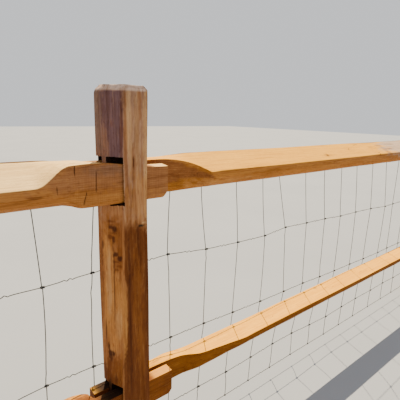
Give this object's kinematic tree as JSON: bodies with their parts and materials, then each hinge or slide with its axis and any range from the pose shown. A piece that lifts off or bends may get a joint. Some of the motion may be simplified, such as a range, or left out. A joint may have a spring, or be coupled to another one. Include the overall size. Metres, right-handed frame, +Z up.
{
  "type": "post and rail fence",
  "caption": "Mortised post and two-rail fence of cleft wood with wire stock netting along its far side, in whole bays.",
  "frame": {"origin": "ground level at the foot of the middle post, on its axis", "axes": "+X along the fence to the right seen from the front, +Y to the netting side at the back, +Z up"},
  "size_m": [9.853, 0.1203, 1.312],
  "materials": {
    "post_wood": "hewn, unfinished",
    "rail_wood": "cleft, unfinished",
    "wire": "galvanised"
  },
  "bodies": {
    "root": {"post_1": "post_wood", "post_2": "post_wood", "post_3": "post_wood", "post_4": "post_wood", "post_5": "post_wood", "upper_rail_bay_1": "rail_wood", "upper_rail_bay_2": "rail_wood", "upper_rail_bay_3": "rail_wood", "upper_rail_bay_4": "rail_wood", "lower_rail_bay_1": "rail_wood", "lower_rail_bay_2": "rail_wood", "lower_rail_bay_3": "rail_wood", "lower_rail_bay_4": "rail_wood", "netting_bay_1": "wire", "netting_bay_2": "wire", "netting_bay_3": "wire", "netting_bay_4": "wire"}
  },
  "joints": []
}
